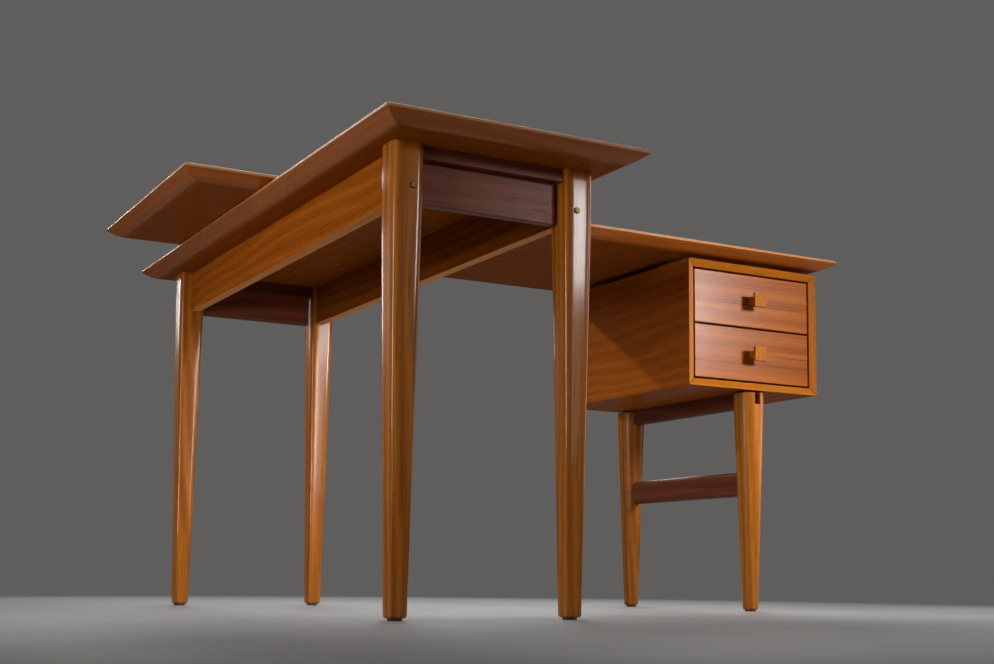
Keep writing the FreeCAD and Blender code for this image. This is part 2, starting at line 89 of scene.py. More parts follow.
# Turns that lay the grain along each axis
GRAIN_TURNS = {"X": (0, 0, 0), "Y": (0, 0, -math.pi / 2), "Z": (0, math.pi / 2, 0)}
# Steps in metres from one plank to the next, and the lengths after which the last two start again
PLANK_STEPS = (0.37, 0.83, 0.59)
PLANK_WRAPS = (3.1, 2.3)

# Noises of the wood figure: cycles per metre along and across the grain, detail and roughness
NOISES = {
    "drift": (1.1, 6.0, 2.0, 0.55),
    "broad": (0.7, 22.0, 2.0, 0.55),
    "fibre": (5.0, 330.0, 4.0, 0.65),
    "fine": (16.0, 900.0, 2.0, 0.55),
    "pore": (30.0, 620.0, 1.0, 0.55),
    "streak": (1.8, 360.0, 3.0, 0.6),
}
# Slope of the growth bands through a plank, how far the drift bends them and how narrow their light is
BAND_SLOPE = 0.6
BAND_BEND = 0.07
BAND_POWER = 1.7
# Shares of bands and noises in the figure, what is taken off their sum, and the level it plays about
BAND_SHARE = 0.26
NOISE_SHARES = {"fibre": 0.34, "fine": 0.14, "broad": 0.34}
FIGURE_MEAN = 0.50
FIGURE_LEVEL = 0.58
# Values between which the tone turns from dark to middle and to light, and streaks and pores come in
DARK_TO_MIDDLE = (0.28, 0.62)
MIDDLE_TO_LIGHT = (0.56, 0.92)
STREAK_RANGE = (0.56, 0.70)
PORE_RANGE = (0.60, 0.72)
# Roughness of the timber, and what fibres and pores add to it
TIMBER_ROUGHNESS = 0.20
FIBRE_ROUGHNESS = 0.14
PORE_ROUGHNESS = 0.18
# Share of the finest noise in the relief, and strength and depth in metres of the bump
FINE_RELIEF = 0.5
BUMP_STRENGTH = 0.12
BUMP_DEPTH = 0.0004

# Figure and gloss of plain lacquered teak, and how the other kinds of timber differ from it
PLAIN = {"bands": 420.0, "streaks": 0.5, "pores": 0.5, "contrast": 0.8, "sheen": 1.0, "lacquer": 0.0}
KINDS = {
    "teak": {},
    "red": {"contrast": 0.6, "sheen": 0.4},
    "gold": {"streaks": 0.1, "contrast": 0.4, "sheen": 0.3},
    # pale is painted light: the highlight on the tops' thin edges and the light on the aprons' undersides
    "pale": {"streaks": 0.2, "contrast": 0.5},
    "beech": {"bands": 700.0, "streaks": 0.15, "pores": 0.35},
}
# Timber of each group of pieces: its kind, its first plank, its shade and how it differs from its kind
WOODS = {
    "tops": {"kind": "teak", "plank": 1, "streaks": 0.1, "contrast": 0.3, "sheen": 0.12},
    # The tops' pale thin edges are a painted highlight
    "highlight-painted edges": {"kind": "pale", "plank": 1, "shade": 0.65},
    # The bevels are a lighter copy of the tops' teak: painted light, with their own gloss
    "painted-light bevels": {"kind": "teak", "plank": 1, "shade": 1.15, "streaks": 0.1, "contrast": 0.3, "sheen": 1.8},
    "return legs": {"kind": "gold", "plank": 24, "streaks": 0.8, "contrast": 0.9, "lacquer": 0.35},
    "aprons": {"kind": "teak", "plank": 30, "streaks": 0.3, "contrast": 0.5, "sheen": 0.0},
    # The aprons' undersides are a pale copy: painted light where light catches them
    "apron painted-light undersides": {"kind": "pale", "plank": 32, "shade": 1.05, "sheen": 0.0},
    # The rails are darkened as painted shade under the top
    "rails": {"kind": "red", "plank": 34, "shade": 0.7},
    "end boards": {"kind": "red", "plank": 34},
    "case": {"kind": "teak", "plank": 40, "shade": 1.1, "streaks": 0.25, "contrast": 0.45, "sheen": 0.2},
    "case mouth": {"kind": "gold", "plank": 40},
    "case back": {"kind": "teak", "plank": 46},
    "spacers": {"kind": "beech", "plank": 47},
    "drawer fronts": {"kind": "teak", "plank": 50, "bands": 300.0, "streaks": 0.9, "contrast": 0.6},
    "drawer boxes": {"kind": "beech", "plank": 52},
    "runners": {"kind": "beech", "plank": 56},
    "pulls": {"kind": "gold", "plank": 60},
    "turned legs": {"kind": "gold", "plank": 70, "streaks": 0.5, "contrast": 0.8, "sheen": 0.8},
    "bridge rail": {"kind": "red", "plank": 72, "shade": 0.45},
    "stretcher": {"kind": "red", "plank": 73, "shade": 0.6},
    "dowels": {"kind": "beech", "plank": 80},
}
# Shades of the pieces that are darker than the rest of their group; the right apron is darkened as painted
# shade on its inner face, and the rear leg as painted shade under the case
RIGHT_APRON_PAINTED_SHADE = 0.8
FAR_END_SHADE = 0.75
REAR_LEG_PAINTED_SHADE = 0.75

# Mottling of metal and plastic: cycles per metre, detail, play and level of tone, play of roughness
MOTTLE_SCALE = 420.0
MOTTLE_DETAIL = 4.0
MOTTLE_TONE = (0.5, 0.72)
MOTTLE_ROUGHNESS = 0.3
# Finish of the fixings in each slot: material, colour, roughness and how metallic it is
FIXINGS = {
    "brass_fixings": ("tarnished_brass", "brass", 0.38, 1.0),
    "steel_fixings": ("dulled_steel", "steel", 0.45, 1.0),
    "glide_plastic": ("worn_glide", "glide", 0.6, 0.0),
}

# Half side of the floor, cycles per metre and detail of its clouds, play and level of its roughness
FLOOR_HALF = 14.0
CLOUD_SCALE = 6.0
CLOUD_DETAIL = 3.0
CLOUD_ROUGHNESS = (0.2, 0.5)
# Lamps: name, place, what it points at, width and height in metres, watts, and spread in degrees
LAMPS = (
    ("Key", (1.05, -1.36, 0.88), (0.35, -0.148, 0.42), (0.3, 0.3), 2.3, 54),
    ("Front", (1.18, -2.75, 1.17), (-0.3, -0.5, 0.5), (0.3, 0.4), 4.6, 110),
    ("Far", (0.39, -1.4, 0.55), (-0.29, 0.55, 0.35), (0.25, 0.5), 0.19, 24),
    ("Left", (-2.3, -0.9, 0.7), (0.3, 0.0, 0.45), (0.6, 0.6), 4.1, 80),
    ("Reach", (-2.0, -1.5, 0.3), (-0.3, 0.5, 0.2), (0.3, 0.3), 0.6, 34),
    ("Side", (-1.5, 3.2, 1.4), (-0.45, -0.14, 0.66), (0.12, 0.8), 0.22, 22),
    ("Beam", (-1.75, 2.6, 2.23), (0.33, 0.1, 0.5), (0.1, 0.1), 1.7, 40),
    ("Right", (2.1, -0.5, 0.8), (0.75, -0.45, 0.0), (1.2, 1.2), 4.0, 70),
    ("Overhead", (-0.1, 0.0, 2.4), (-0.1, 0.01, 0.0), (2.0, 2.0), 11.0, 150),
    ("Back", (1.2, 2.9, 2.4), (-0.1, -0.2, 0.7), (3.0, 1.4), 24.0, 100),
)


def length(name, description, default):
    """A property for a length in metres."""
    return FloatProperty(name=name, description=description, default=default, unit="LENGTH", precision=5)


def colour(name, description, default):
    """A property for a linear colour."""
    return FloatVectorProperty(
        name=name, description=description, default=default, subtype="COLOR", size=3, min=0, max=1
    )


def number(name, description, default):
    """A property for a plain value."""
    return FloatProperty(name=name, description=description, default=default)


def angle(name, description, degrees):
    """A property for an angle, given in degrees."""
    return FloatProperty(name=name, description=description, default=math.radians(degrees), subtype="ANGLE")


class TeakDeskTimber(bpy.types.PropertyGroup):
    """Edges and profiles of the timber pieces."""

    board_easing: length("Board easing", "Rounding of the edges of aprons, rails and drawer fronts", 0.0012)
    case_easing: length("Case easing", "Rounding along the edges of the pedestal's case", 0.0010)
    top_easing: length("Top easing", "Rounding of the upper edge of both tops", 0.0045)
    edge_easing: length("Edge easing", "Rounding where the bevel meets the thin edge of both tops", 0.0008)
    thin_edge: length("Thin edge", "Height of the edge that the bevel leaves on both tops", 0.0055)
    under_bevel: length("Under bevel", "Width of the bevel below both tops", 0.026)
    bevel_softening: length("Bevel softening", "How far the bevel is rounded into the underside", 0.0131)
    top_corner: length("Top corner", "Rounding of both tops' corners in plan", 0.005)
    mitre_gap: length("Mitre gap", "Hairline left at each mitre", 0.00005)
    leg_fullness: number("Leg fullness", "Squareness of a return leg's section; 2 is a circle", 5.5)
    leg_foot: length("Leg foot", "Side of a return leg at its foot", 0.0285)
    foot_chamfer: length("Foot chamfer", "Chamfer round a return leg's foot", 0.0025)
    case_bevel: length("Case bevel", "Depth of the bevel round the case's mouth", 0.006)
    pull_base: length("Pull base", "Side of a pull where it meets its drawer", 0.017)
    pull_neck: length("Pull neck", "Side of a pull at its waist", 0.015)
    pull_plate: length("Pull plate", "Thickness of a pull's square face", 0.006)
    pull_easing: length("Pull easing", "Rounding of a pull's edges", 0.0010)


class TeakDeskFinish(bpy.types.PropertyGroup):
    """Colours and gloss of the timber and the metal."""

    teak_dark: colour("Teak dark", "Dark streaks of the teak", (0.100, 0.019, 0.0018))
    teak_middle: colour("Teak middle", "Main tone of the teak", (0.340, 0.084, 0.007))
    teak_light: colour("Teak light", "Light bands of the teak", (0.500, 0.152, 0.020))
    red_dark: colour("Red teak dark", "Dark streaks of the darker boards", (0.090, 0.022, 0.010))
    red_middle: colour("Red teak middle", "Main tone of the darker boards", (0.250, 0.064, 0.029))
    red_light: colour("Red teak light", "Light bands of the darker boards", (0.380, 0.114, 0.050))
    gold_dark: colour("Gold teak dark", "Dark streaks of legs, pulls and mouth", (0.170, 0.042, 0.003))
    gold_middle: colour("Gold teak middle", "Main tone of legs, pulls and mouth", (0.400, 0.118, 0.009))
    gold_light: colour("Gold teak light", "Light bands of legs, pulls and mouth", (0.520, 0.180, 0.022))
    # The pale tones are painted light, for the highlight on the tops' thin edges and the light on the
    # aprons' undersides
    pale_dark: colour("Pale teak dark", "Dark streaks of the highlight-painted edges", (0.600, 0.230, 0.080))
    pale_middle: colour("Pale teak middle", "Main tone of the highlight-painted edges", (0.850, 0.360, 0.130))
    pale_light: colour("Pale teak light", "Light bands of the highlight-painted edges", (0.920, 0.450, 0.180))
    beech_dark: colour("Beech dark", "Dark flecks of the beech", (0.330, 0.190, 0.090))
    beech_middle: colour("Beech middle", "Main tone of the beech", (0.520, 0.340, 0.180))
    beech_light: colour("Beech light", "Light bands of the beech", (0.640, 0.460, 0.270))
    brass: colour("Brass", "Tarnished brass of the bolts", (0.150, 0.085, 0.030))
    steel: colour("Steel", "Dulled steel of the screws", (0.480, 0.470, 0.450))
    glide: colour("Glide", "Worn black plastic of the glides", (0.018, 0.016, 0.015))
    sheen_level: number("Sheen", "How strongly the timber shines", 0.2)
    lacquer_roughness: number("Lacquer roughness", "Blur of what the legs' lacquer mirrors", 0.12)


class TeakDeskStage(bpy.types.PropertyGroup):
    """Camera, floor and lamps."""

    camera_x: length("Camera X", "Where the camera stands, along the desk top", -1.3362)
    camera_y: length("Camera Y", "Where the camera stands, away from the sitter", -2.3456)
    camera_z: length("Camera height", "Height of the lens above the floor", 0.061)
    yaw: angle("Yaw", "Turn of the view to the right", 28.94)
    pitch: angle("Pitch", "Upward tilt of the view", 6.236)
    roll: angle("Roll", "Sideways tilt of the camera", 0.553)
    focal_pixels: number("Focal length", "Focal length in pixels of the photograph", 1416.9)
    centre_row: number("Centre row", "Row of the photograph that the lens axis meets", 423.3)
    floor: colour("Floor", "Pale floor near the desk", (0.31, 0.307, 0.304))
    floor_far: colour("Far floor", "Floor where it ends round the desk", (0.28, 0.276, 0.27))
    floor_fade: length("Floor fade", "Distance from the desk's middle where the floor begins to fade", 1.45)
    floor_end: length("Floor end", "Distance from the desk's middle where the floor has gone", 2.05)
    backdrop: colour("Backdrop", "Grey of the backdrop", (0.115, 0.113, 0.110))
    ambient: number("Ambient", "Strength of the even light from all round", 0.04)


def settings():
    """The scene's property groups."""
    scene = bpy.context.scene
    return scene.teak_desk_timber, scene.teak_desk_finish, scene.teak_desk_stage


# Nodes and materials


def node(tree, kind, inputs=None, **options):
    """Adds a node, sets its options and fills its inputs with values or links."""
    made = tree.nodes.new(kind)
    for key, value in options.items():
        setattr(made, key, value)
    for key, value in (inputs or {}).items():
        if isinstance(value, bpy.types.NodeSocket):
            tree.links.new(value, made.inputs[key])
        else:
            made.inputs[key].default_value = value
    return made


def maths(tree, operation, *values):
    """A Math node's result."""
    return node(tree, "ShaderNodeMath", dict(enumerate(values)), operation=operation).outputs[0]


def blend_colour(tree, mode, share, first, second):
    """A colour Mix node's result."""
    made = node(tree, "ShaderNodeMix", data_type="RGBA", blend_type=mode)
    for socket, value in zip((made.inputs[0], made.inputs[6], made.inputs[7]), (share, first, second)):
        if isinstance(value, bpy.types.NodeSocket):
            tree.links.new(value, socket)
        else:
            socket.default_value = value
    return made.outputs[2]


def stretched_noise(tree, vector, along, across, detail, roughness):
    """Noise that is drawn out along the grain; along and across are cycles per metre."""
    scaled = node(tree, "ShaderNodeMapping", {"Vector": vector, "Scale": (along, across, across)})
    noise = node(
        tree,
        "ShaderNodeTexNoise",
        {"Vector": scaled.outputs[0], "Scale": 1.0, "Detail": detail, "Roughness": roughness},
    )
    return noise.outputs[0]


def ramp(tree, value, low, high):
    """Maps a value so that low becomes 0 and high becomes 1, smoothly."""
    made = node(
        tree,
        "ShaderNodeMapRange",
        {"Value": value, "From Min": low, "From Max": high},
        interpolation_type="SMOOTHSTEP",
    )
    return made.outputs[0]


def wood_figure():
    """The figure of sawn timber as a group: growth bands, fibres, pores and slow drifts of tone."""
    group = bpy.data.node_groups.get("wood_figure")
    if group:
        return group
    group = bpy.data.node_groups.new("wood_figure", "ShaderNodeTree")
    face = group.interface
    face.new_socket("Vector", in_out="INPUT", socket_type="NodeSocketVector")
    for name in ("Dark", "Middle", "Light"):
        face.new_socket(name, in_out="INPUT", socket_type="NodeSocketColor")
    for name in ("Bands", "Streaks", "Pores", "Contrast"):
        face.new_socket(name, in_out="INPUT", socket_type="NodeSocketFloat")
    face.new_socket("Color", in_out="OUTPUT", socket_type="NodeSocketColor")
    face.new_socket("Roughness", in_out="OUTPUT", socket_type="NodeSocketFloat")
    face.new_socket("Height", in_out="OUTPUT", socket_type="NodeSocketFloat")
    given = group.nodes.new("NodeGroupInput").outputs
    result = group.nodes.new("NodeGroupOutput").inputs

    vector = given["Vector"]
    noise = {name: stretched_noise(group, vector, *values) for name, values in NOISES.items()}
    apart = node(group, "ShaderNodeSeparateXYZ", {0: vector})
    depth = maths(group, "MULTIPLY", apart.outputs[2], BAND_SLOPE)
    across = maths(group, "ADD", apart.outputs[1], depth)
    bent = maths(group, "MULTIPLY_ADD", noise["drift"], BAND_BEND, across)
    turns = maths(group, "MULTIPLY", bent, given["Bands"])
    wave = maths(group, "MULTIPLY_ADD", maths(group, "SINE", turns), 0.5, 0.5)
    bands = maths(group, "POWER", wave, BAND_POWER)

    figure = maths(group, "MULTIPLY", bands, BAND_SHARE)
    for name, share in NOISE_SHARES.items():
        figure = maths(group, "MULTIPLY_ADD", noise[name], share, figure)
    figure = maths(group, "SUBTRACT", figure, FIGURE_MEAN)
    figure = maths(group, "MULTIPLY_ADD", figure, given["Contrast"], FIGURE_LEVEL)
    lower = ramp(group, figure, *DARK_TO_MIDDLE)
    upper = ramp(group, figure, *MIDDLE_TO_LIGHT)
    tone = blend_colour(group, "MIX", lower, given["Dark"], given["Middle"])
    tone = blend_colour(group, "MIX", upper, tone, given["Light"])
    dark_streak = maths(group, "MULTIPLY", ramp(group, noise["streak"], *STREAK_RANGE), given["Streaks"])
    tone = blend_colour(group, "MIX", dark_streak, tone, given["Dark"])
    dark_pore = maths(group, "MULTIPLY", ramp(group, noise["pore"], *PORE_RANGE), given["Pores"])
    tone = blend_colour(group, "MIX", dark_pore, tone, given["Dark"])
    group.links.new(tone, result["Color"])
    gloss = maths(group, "MULTIPLY_ADD", noise["fibre"], FIBRE_ROUGHNESS, TIMBER_ROUGHNESS)
    gloss = maths(group, "MULTIPLY_ADD", dark_pore, PORE_ROUGHNESS, gloss)
    group.links.new(gloss, result["Roughness"])
    fine = maths(group, "MULTIPLY", noise["fine"], FINE_RELIEF)
    relief = maths(group, "MULTIPLY_ADD", dark_pore, -1.0, fine)
    group.links.new(relief, result["Height"])
    return group


def rgba(value):
    """A property's colour with full cover."""
    return (*value, 1.0)


def timber(name, tones, grain, shift, look):
    """A timber material whose grain runs along an axis; shift is the place of its plank."""
    material = bpy.data.materials.new(name)
    material.use_nodes = True
    tree = material.node_tree
    shader = tree.nodes["Principled BSDF"]
    place = node(tree, "ShaderNodeTexCoord").outputs["Object"]
    plank = node(
        tree, "ShaderNodeMapping", {"Vector": place, "Location": shift, "Rotation": GRAIN_TURNS[grain]}
    )
    figure = node(tree, "ShaderNodeGroup", node_tree=wood_figure())
    tree.links.new(plank.outputs[0], figure.inputs["Vector"])
    for key, tone in zip(("Dark", "Middle", "Light"), tones):
        figure.inputs[key].default_value = rgba(tone)
    for key in ("Bands", "Streaks", "Pores", "Contrast"):
        figure.inputs[key].default_value = look[key.lower()]
    bump = node(
        tree,
        "ShaderNodeBump",
        {"Height": figure.outputs["Height"], "Strength": BUMP_STRENGTH, "Distance": BUMP_DEPTH},
    )
    tree.links.new(figure.outputs["Color"], shader.inputs["Base Color"])
    tree.links.new(figure.outputs["Roughness"], shader.inputs["Roughness"])
    tree.links.new(bump.outputs[0], shader.inputs["Normal"])
    finish = settings()[1]
    shader.inputs["Specular IOR Level"].default_value = finish.sheen_level * look["sheen"]
    shader.inputs["Coat Weight"].default_value = look["lacquer"]
    shader.inputs["Coat Roughness"].default_value = finish.lacquer_roughness
    return material


def plank_shift(plank):
    """The place in the timber where a plank is cut."""
    along, across, deep = (plank * step for step in PLANK_STEPS)
    return (along, across % PLANK_WRAPS[0], deep % PLANK_WRAPS[1])


def wood(group, name, grain, count=0, shade=1.0):
    """The timber of one piece of a group; count goes on from the group's first plank."""
    look = dict(WOODS[group])
    kind = look.pop("kind")
    plank = look.pop("plank") + count
    shade *= look.pop("shade", 1.0)
    finish = settings()[1]
    tones = [Color(getattr(finish, kind + "_" + tone)) * shade for tone in ("dark", "middle", "light")]
    return timber(name, tones, grain, plank_shift(plank), {**PLAIN, **KINDS[kind], **look})


def metal(name, tone, roughness, metallic):
    """Metal or plastic with a mottled, handled surface."""
    material = bpy.data.materials.new(name)
    material.use_nodes = True
    tree = material.node_tree
    shader = tree.nodes["Principled BSDF"]
    place = node(tree, "ShaderNodeTexCoord").outputs["Object"]
    cloud = {"Vector": place, "Scale": MOTTLE_SCALE, "Detail": MOTTLE_DETAIL}
    mottle = node(tree, "ShaderNodeTexNoise", cloud).outputs[0]
    shade = maths(tree, "MULTIPLY_ADD", mottle, *MOTTLE_TONE)
    tint = node(tree, "ShaderNodeCombineColor", {0: shade, 1: shade, 2: shade}).outputs[0]
    tone = blend_colour(tree, "MULTIPLY", 1.0, rgba(tone), tint)
    tree.links.new(tone, shader.inputs["Base Color"])
    wear = maths(tree, "MULTIPLY_ADD", mottle, MOTTLE_ROUGHNESS, roughness - MOTTLE_ROUGHNESS / 2)
    tree.links.new(wear, shader.inputs["Roughness"])
    shader.inputs["Metallic"].default_value = metallic
    return material


# Shapes


def piece_from(work, name, nodes, material, body="desk"):
    """Turns a bmesh into a finished piece that rides a body and stands for its solids."""
    bmesh.ops.recalc_face_normals(work, faces=work.faces)
    for edge in work.edges:
        edge.smooth = edge.calc_face_angle(0.0) < SHARP_ANGLE
    mesh = bpy.data.meshes.new(name)
    work.to_mesh(mesh)
    work.free()
    mesh.shade_smooth()
    mesh.materials.append(material)
    piece = bpy.data.objects.new(name, mesh)
    bpy.context.scene.collection.objects.link(piece)
    even = piece.modifiers.new("Even shading", "WEIGHTED_NORMAL")
    even.weight = 100
    even.keep_sharp = True
    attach(piece, body)
    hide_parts(*nodes)
    return piece


def dress(name, material):
    """Gives a solid that is kept as it is its finish."""
    mesh = frame["nodes"][name].data
    mesh.materials.clear()
    mesh.materials.append(material)


def ease(work, edges, offset):
    """Rounds edges."""
    bmesh.ops.bevel(
        work,
        geom=edges,
        offset=offset,
        offset_type="OFFSET",
        segments=EASING_SEGMENTS,
        profile=0.5,
        affect="EDGES",
        clamp_overlap=True,
        material=-1,
    )


def board(low, high, easing):
    """A square-edged board between two corners with all its edges eased."""
    work = bmesh.new()
    bmesh.ops.create_cube(work, size=1.0)
    bmesh.ops.scale(work, vec=high - low, verts=work.verts)
    bmesh.ops.translate(work, vec=(low + high) / 2, verts=work.verts)
    ease(work, work.edges[:], easing)
    return work


def rounded(points, reaches):
    """An open profile with its corners rounded; each reach is how far a rounding goes along both sides."""
    line = [Vector(points[0])]
    for before, corner, after, reach in zip(points, points[1:], points[2:], reaches):
        corner = Vector(corner)
        start = corner + (Vector(before) - corner).normalized() * reach
        end = corner + (Vector(after) - corner).normalized() * reach
        for k in range(PROFILE_STEPS + 1):
            t = k / PROFILE_STEPS
            line.append(start * (1 - t) ** 2 + corner * (2 * t * (1 - t)) + end * t * t)
    line.append(Vector(points[-1]))
    return line


def drawn(profile, stations):
    """Draws a closed profile through stations; each station turns a profile point into a place."""
    work = bmesh.new()
    mark = work.verts.layers.int.new("profile point")
    corners = [work.verts.new(stations[0](*point)) for point in profile]
    for k, corner in enumerate(corners):
        corner[mark] = k
    first = face = work.faces.new(corners)
    for station in stations[1:]:
        grown = bmesh.ops.extrude_face_region(work, geom=[face])["geom"]
        if face is not first:
            work.faces.remove(face)
        face = next(item for item in grown if isinstance(item, bmesh.types.BMFace))
        for corner in face.verts:
            corner.co = station(*profile[corner[mark]])
    bmesh.ops.remove_doubles(work, verts=work.verts, dist=NEAR)
    return work


def mitred_stations(start, end, radius, place, steps):
    """Stations along one side of a frame, from the middle of one round corner to that of the next."""
    stations = []
    for corner, way, order in ((start, 1, range(steps, -1, -1)), (end, -1, range(steps + 1))):
        for k in order:
            turn = math.pi / 4 * k / steps

            def station(inward, other, corner=corner, way=way, turn=turn):
                bend = max(radius - inward, 0.0)
                centre = max(radius, inward)
                along = corner + way * (centre - bend * math.sin(turn))
                return place(along, centre - bend * math.cos(turn), other)

            stations.append(station)
    return stations


def crowned_square(fullness):
    """Points round a square of half side 1 with crowned sides and soft corners."""
    points = []
    for k in range(LEG_POINTS):
        turn = 2 * math.pi * k / LEG_POINTS
        a, b = math.cos(turn), math.sin(turn)
        reach = (abs(a) ** fullness + abs(b) ** fullness) ** (-1 / fullness)
        points.append((a * reach, b * reach))
    return points


def post(profile, sections, axis):
    """A post through (centre, half side) sections of one profile, drawn out along an axis."""
    one, two = Vector((0, 0, 0)), Vector((0, 0, 0))
    one[(axis + 1) % 3] = 1
    two[(axis + 2) % 3] = 1

    def station(centre, half):
        return lambda a, b: centre + one * (half * a) + two * (half * b)

    return drawn(profile, [station(centre, half) for centre, half in sections])


class TEAKDESK_OT_tops(bpy.types.Operator):
    """Builds both tops: bevelled solid lippings, mitred round their panels"""

    bl_idname = "teakdesk.tops"
    bl_label = "Tops"

    def execute(self, context):
        sizes = settings()[0]
        count = 0
        for top, long_axis in (("return_top", "Y"), ("desk_top", "X")):
            dress(top + "_panel", wood("tops", top + "_veneer", long_axis, count))
            near, far, left, right = (
                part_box(top + "_" + side + "_lipping") for side in ("near", "far", "left", "right")
            )
            low = Vector(map(min, near[0], left[0]))
            high = Vector(map(max, far[1], right[1]))
            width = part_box(top + "_panel")[0].x - low.x
            bottom, upper = low.z, high.z
            profile = rounded(
                [
                    (width, bottom),
                    (sizes.under_bevel, bottom),
                    (0.0, upper - sizes.thin_edge),
                    (0.0, upper),
                    (width, upper),
                ],
                (sizes.bevel_softening, sizes.edge_easing, sizes.top_easing),
            )
            gap = sizes.mitre_gap
            sides = {
                "near": ("X", low.x, high.x, lambda s, u, w: Vector((s, low.y + u, w))),
                "far": ("X", low.x, high.x, lambda s, u, w: Vector((s, high.y - u, w))),
                "left": ("Y", low.y, high.y, lambda s, u, w: Vector((low.x + u, s, w))),
                "right": ("Y", low.y, high.y, lambda s, u, w: Vector((high.x - u, s, w))),
            }
            for side, (grain, start, end, place) in sides.items():
                count += 1
                stations = mitred_stations(start + gap, end - gap, sizes.top_corner, place, CORNER_STEPS)
                work = drawn(profile, stations)
                bmesh.ops.recalc_face_normals(work, faces=work.faces)
                for face in work.faces:
                    # Faces of the thin edge, below the flat top, take the pale timber as a painted
                    # highlight
                    if face.calc_center_median().z > upper - sizes.thin_edge:
                        face.material_index = int(face.normal.z < FLAT_TOP)
                    else:
                        # Bevel faces take a lighter copy of the teak as painted light
                        face.material_index = 2 * int(BEVEL_SLOPE[0] < face.normal.z < BEVEL_SLOPE[1])
                name = top + "_" + side + "_lipping"
                material = wood("tops", name + "_teak", grain, count)
                lipping = piece_from(work, "eased_" + name, [name], material)
                # The pale timber paints a highlight on the thin edge
                lipping.data.materials.append(wood("highlight-painted edges", name + "_painted_highlight_edge", grain, count))
                # The lighter bevel copy is painted light
                lipping.data.materials.append(wood("painted-light bevels", name + "_bevel", grain, count))
        return {"FINISHED"}


class TEAKDESK_OT_return_legs(bpy.types.Operator):
    """Builds the return's four tapered legs, square with crowned sides and soft corners"""

    bl_idname = "teakdesk.return_legs"
    bl_label = "Return legs"

    def execute(self, context):
        sizes = settings()[0]
        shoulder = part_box("return_apron_left")[0].z
        places = [(end, side) for end in ("near", "far") for side in ("left", "right")]
        for count, (end, side) in enumerate(places):
            name = "return_leg_" + end + "_" + side
            low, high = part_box(name)
            middle = (low + high) / 2
            half = (high.x - low.x) / 2
            foot = sizes.leg_foot / 2
            heights = [
                (low.z, foot - sizes.foot_chamfer),
                (low.z + sizes.foot_chamfer, foot),
                (shoulder, half),
                (high.z, half),
            ]
            sections = [(Vector((middle.x, middle.y, z)), side_half) for z, side_half in heights]
            work = post(crowned_square(sizes.leg_fullness), sections, LEG_AXIS)
            piece_from(work, "eased_" + name, [name], wood("return legs", name + "_teak", "Z", count))
        return {"FINISHED"}


class TEAKDESK_OT_return_frame(bpy.types.Operator):
    """Builds the return's aprons, end rails and end boards"""

    bl_idname = "teakdesk.return_frame"
    bl_label = "Return frame"

    def execute(self, context):
        easing = settings()[0].board_easing
        # The right apron is darkened as painted shade on its inner face
        for count, (side, shade) in enumerate((("left", 1.0), ("right", RIGHT_APRON_PAINTED_SHADE))):
            name = "return_apron_" + side
            work = board(*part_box(name), easing)
            bmesh.ops.recalc_face_normals(work, faces=work.faces)
            # Each apron's underside takes the pale timber as painted light
            for face in work.faces:
                face.material_index = int(face.normal.z < APRON_UNDERSIDE)
            material = wood("aprons", name + "_teak", "Y", count, shade)
            apron = piece_from(work, "eased_" + name, [name], material)
            apron.data.materials.append(wood("apron painted-light undersides", name + "_pale_edge", "Y", count))
        for count, (end, shade) in enumerate((("near", 1.0), ("far", FAR_END_SHADE))):
            # The rails' group darkens them as painted shade under the top
            for kind, group in (("rail", "rails"), ("end_board", "end boards")):
                name = "return_" + end + "_" + kind
                material = wood(group, name + "_teak", "X", count, shade)
                piece_from(board(*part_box(name), easing), "eased_" + name, [name], material)
        return {"FINISHED"}


class TEAKDESK_OT_pedestal_case(bpy.types.Operator):
    """Builds the pedestal's mitred case with its bevelled mouth"""

    bl_idname = "teakdesk.pedestal_case"
    bl_label = "Pedestal case"

    def execute(self, context):
        sizes = settings()[0]
        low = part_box("pedestal_left_side")[0]
        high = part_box("pedestal_right_side")[1]
        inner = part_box("pedestal_left_side")[1].x - low.x
        profile = [(0.0, low.y), (0.0, high.y), (inner, high.y), (inner, low.y + sizes.case_bevel)]
        gap = sizes.mitre_gap
        walls = {
            "left_side": (low.z, high.z, lambda s, u, w: Vector((low.x + u, w, s))),
            "right_side": (low.z, high.z, lambda s, u, w: Vector((high.x - u, w, s))),
            "bottom": (low.x, high.x, lambda s, u, w: Vector((s, w, low.z + u))),
            "top": (low.x, high.x, lambda s, u, w: Vector((s, w, high.z - u))),
        }
        for count, (wall, (start, end, place)) in enumerate(walls.items()):
            stations = mitred_stations(start + gap, end - gap, radius=0.0, place=place, steps=1)
            work = drawn(profile, stations)
            ease(work, work.edges[:], sizes.case_easing)
            bmesh.ops.recalc_face_normals(work, faces=work.faces)
            for face in work.faces:
                face.material_index = int(face.normal.y < CASE_MOUTH)
            name = "pedestal_" + wall
            side = piece_from(work, "eased_" + name, [name], wood("case", name + "_teak", "Y", count))
            mouth_grain = "X" if wall in ("bottom", "top") else "Z"
            side.data.materials.append(wood("case mouth", name + "_mouth", mouth_grain, count))
        dress("pedestal_back", wood("case back", "pedestal_back_teak", "X"))
        for place in ("front", "rear"):
            dress("pedestal_spacer_" + place, wood("spacers", "spacer_" + place + "_beech", "X"))
        return {"FINISHED"}


class TEAKDESK_OT_drawers(bpy.types.Operator):
    """Builds the drawer fronts and finishes the drawer boxes and runners"""

    bl_idname = "teakdesk.drawers"
    bl_label = "Drawers"

    def execute(self, context):
        easing = settings()[0].board_easing
        for count, drawer in enumerate(("upper_drawer", "lower_drawer")):
            front = drawer + "_front"
            material = wood("drawer fronts", front + "_teak", "X")
            piece_from(board(*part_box(front), easing), "eased_" + front, [front], material, drawer)
            for part, grain in (("left_side", "Y"), ("right_side", "Y"), ("back", "X"), ("bottom", "X")):
                name = drawer + "_" + part
                dress(name, wood("drawer boxes", name + "_beech", grain, count))
        dress("drawer_runners", wood("runners", "runner_beech", "Y"))
        return {"FINISHED"}


